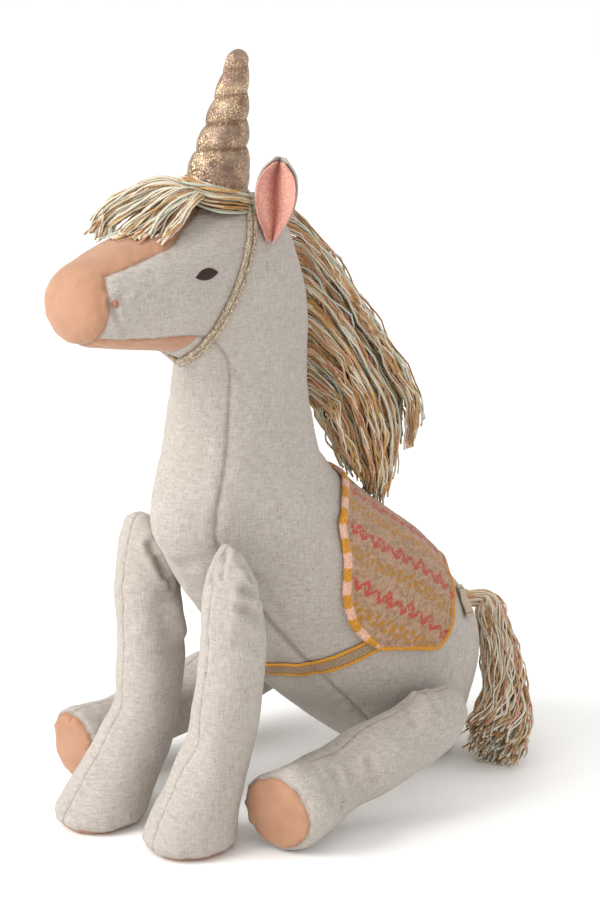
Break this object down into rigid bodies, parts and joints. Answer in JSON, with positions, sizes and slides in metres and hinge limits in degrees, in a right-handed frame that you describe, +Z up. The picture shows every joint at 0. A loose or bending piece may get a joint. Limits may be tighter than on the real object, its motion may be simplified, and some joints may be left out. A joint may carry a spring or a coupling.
{
  "type": "plush unicorn",
  "caption": "Seated stuffed unicorn with a twisted glitter horn, yarn mane and tail, halter band and a knitted saddle blanket on a ribbon girth.",
  "frame": {"origin": "middle of the flat sitting patch under the rump", "axes": "+Z up from the sitting patch to the horn tip; the animal faces -Y and its left side is +X"},
  "size_m": [0.1788, 0.2822, 0.398],
  "materials": {
    "blanket_binding": "knitted binding",
    "blanket_label": "woven label, blank",
    "blanket_lining": "woven linen",
    "body_side_left": "woven linen",
    "body_side_right": "woven linen",
    "body_stuffing": "loose fibre filling",
    "chest_belly_gusset": "woven linen",
    "ear_left_back": "woven linen",
    "ear_left_lining": "brushed cotton",
    "ear_right_back": "woven linen",
    "ear_right_lining": "brushed cotton",
    "eye_left": "satin-stitch embroidery",
    "eye_right": "satin-stitch embroidery",
    "foreleg_left_cover": "woven linen",
    "foreleg_left_sole": "cotton velvet",
    "foreleg_left_stuffing": "loose fibre filling",
    "foreleg_right_cover": "woven linen",
    "foreleg_right_sole": "cotton velvet",
    "foreleg_right_stuffing": "loose fibre filling",
    "forelock_yarn": "cotton yarn",
    "girth_ribbon": "woven ribbon",
    "halter_band": "two-strand metallic cord",
    "head_side_left": "woven linen",
    "head_side_right": "woven linen",
    "hindleg_left_cover": "woven linen",
    "hindleg_left_sole": "cotton velvet",
    "hindleg_left_stuffing": "loose fibre filling",
    "hindleg_right_cover": "woven linen",
    "hindleg_right_sole": "cotton velvet",
    "hindleg_right_stuffing": "loose fibre filling",
    "horn_cover": "metallic glitter fabric",
    "horn_stuffing": "loose fibre filling",
    "horn_thread": "metallic thread",
    "jaw_gusset": "cotton velvet",
    "mane_tape": "woven linen",
    "mane_yarn": "cotton yarn",
    "muzzle_and_blaze": "cotton velvet",
    "nostril_left": "satin-stitch embroidery",
    "nostril_right": "satin-stitch embroidery",
    "saddle_blanket": "jacquard knit",
    "tail_binding": "cotton yarn",
    "tail_yarn": "cotton yarn"
  },
  "bodies": {
    "torso": {"blanket_binding": "blanket_binding", "blanket_label": "blanket_label", "blanket_lining": "blanket_lining", "body_side_left": "body_side_left", "body_side_right": "body_side_right", "body_stuffing": "body_stuffing", "chest_belly_gusset": "chest_belly_gusset", "eye_left": "eye_left", "eye_right": "eye_right", "girth_ribbon": "girth_ribbon", "halter_band": "halter_band", "head_side_left": "head_side_left", "head_side_right": "head_side_right", "horn_cover": "horn_cover", "horn_stuffing": "horn_stuffing", "horn_thread": "horn_thread", "jaw_gusset": "jaw_gusset", "mane_tape": "mane_tape", "muzzle_and_blaze": "muzzle_and_blaze", "nostril_left": "nostril_left", "nostril_right": "nostril_right", "saddle_blanket": "saddle_blanket"},
    "foreleg_left": {"foreleg_left_cover": "foreleg_left_cover", "foreleg_left_sole": "foreleg_left_sole", "foreleg_left_stuffing": "foreleg_left_stuffing"},
    "foreleg_right": {"foreleg_right_cover": "foreleg_right_cover", "foreleg_right_sole": "foreleg_right_sole", "foreleg_right_stuffing": "foreleg_right_stuffing"},
    "hindleg_left": {"hindleg_left_cover": "hindleg_left_cover", "hindleg_left_sole": "hindleg_left_sole", "hindleg_left_stuffing": "hindleg_left_stuffing"},
    "hindleg_right": {"hindleg_right_cover": "hindleg_right_cover", "hindleg_right_sole": "hindleg_right_sole", "hindleg_right_stuffing": "hindleg_right_stuffing"},
    "ear_left": {"ear_left_back": "ear_left_back", "ear_left_lining": "ear_left_lining"},
    "ear_right": {"ear_right_back": "ear_right_back", "ear_right_lining": "ear_right_lining"},
    "mane": {"mane_yarn": "mane_yarn"},
    "forelock": {"forelock_yarn": "forelock_yarn"},
    "tail": {"tail_yarn": "tail_yarn", "tail_binding": "tail_binding"}
  },
  "joints": [
    {"name": "shoulder_left", "type": "hinge", "parent": "torso", "child": "foreleg_left", "pos_m": [0.044, -0.156, 0.157], "axis": [-1, 0, 0], "range_deg": [0, 60], "stiffness_Nm_per_rad": 1.5},
    {"name": "shoulder_right", "type": "hinge", "parent": "torso", "child": "foreleg_right", "pos_m": [-0.038, -0.148, 0.15], "axis": [-1, 0, 0], "range_deg": [0, 60], "stiffness_Nm_per_rad": 1.5},
    {"name": "hip_left", "type": "hinge", "parent": "torso", "child": "hindleg_left", "pos_m": [0.061, -0.024, 0.049], "axis": [-0.5, 0, 0.866], "range_deg": [0, 40], "stiffness_Nm_per_rad": 1.5},
    {"name": "hip_right", "type": "hinge", "parent": "torso", "child": "hindleg_right", "pos_m": [-0.061, -0.024, 0.045], "axis": [-0.5, 0, -0.866], "range_deg": [0, 40], "stiffness_Nm_per_rad": 1.5},
    {"name": "ear_left_fold", "type": "hinge", "parent": "torso", "child": "ear_left", "pos_m": [0.029, -0.114, 0.3105], "axis": [1, 0, 0], "range_deg": [-30, 3], "stiffness_Nm_per_rad": 0.02},
    {"name": "ear_right_fold", "type": "hinge", "parent": "torso", "child": "ear_right", "pos_m": [-0.029, -0.114, 0.3105], "axis": [1, 0, 0], "range_deg": [-30, 3], "stiffness_Nm_per_rad": 0.02},
    {"name": "tail_lift", "type": "hinge", "parent": "torso", "child": "tail", "pos_m": [0, 0.037, 0.074], "axis": [1, 0, 0], "range_deg": [0, 60]},
    {"name": "mane_swing", "type": "hinge", "parent": "torso", "child": "mane", "pos_m": [0, -0.076, 0.25], "axis": [0, -0.1701, 0.9854], "range_deg": [-18, 18], "stiffness_Nm_per_rad": 0.05},
    {"name": "forelock_lift", "type": "hinge", "parent": "torso", "child": "forelock", "pos_m": [0, -0.148, 0.328], "axis": [-1, 0, 0], "range_deg": [0, 40]}
  ]
}
